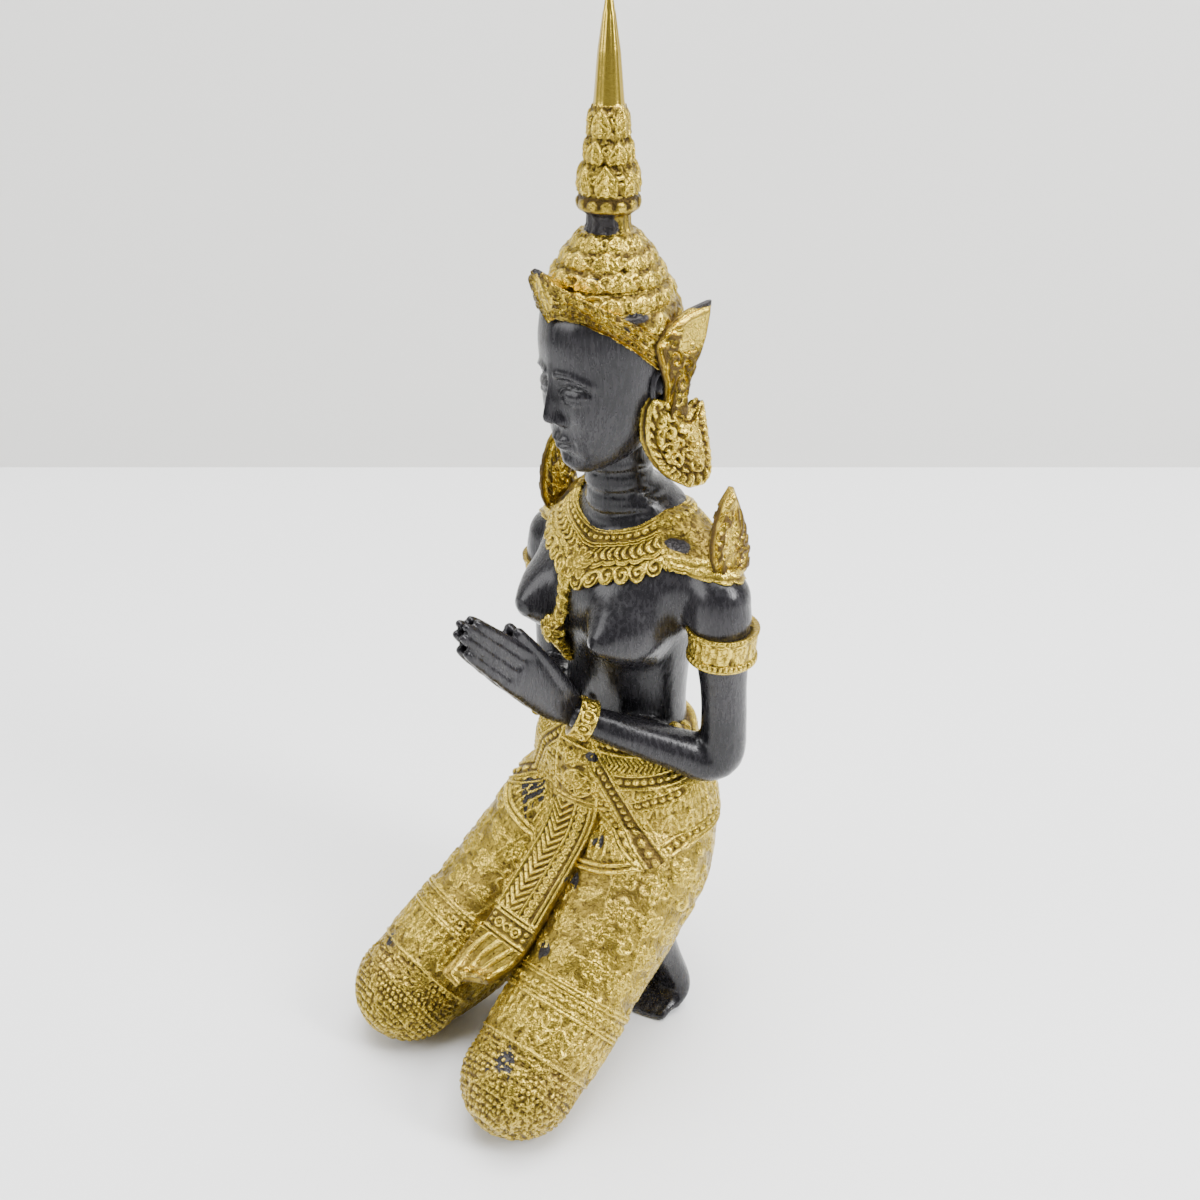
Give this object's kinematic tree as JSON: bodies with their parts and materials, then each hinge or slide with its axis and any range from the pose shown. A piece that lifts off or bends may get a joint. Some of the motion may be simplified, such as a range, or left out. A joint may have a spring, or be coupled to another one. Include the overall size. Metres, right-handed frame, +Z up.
{
  "type": "bronze female statue",
  "caption": "Kneeling bronze figure of a crowned woman, hands pressed together, patterned skirt, collar and armbands gilded, skin dark.",
  "frame": {"origin": "on the ground under the middle of the figure's bounding box", "axes": "+Z up along the spire, -Y the way the figure faces, +X its left side"},
  "size_m": [0.0946, 0.1106, 0.32],
  "materials": {
    "patinated_bronze": "near-black patina, semi-gloss, worn to a smooth skin",
    "gilding": "warm worn gilding, bright on the relief and dark brown in its hollows"
  },
  "bodies": {
    "root": {"kneeling_figure": "patinated_bronze"}
  },
  "joints": []
}
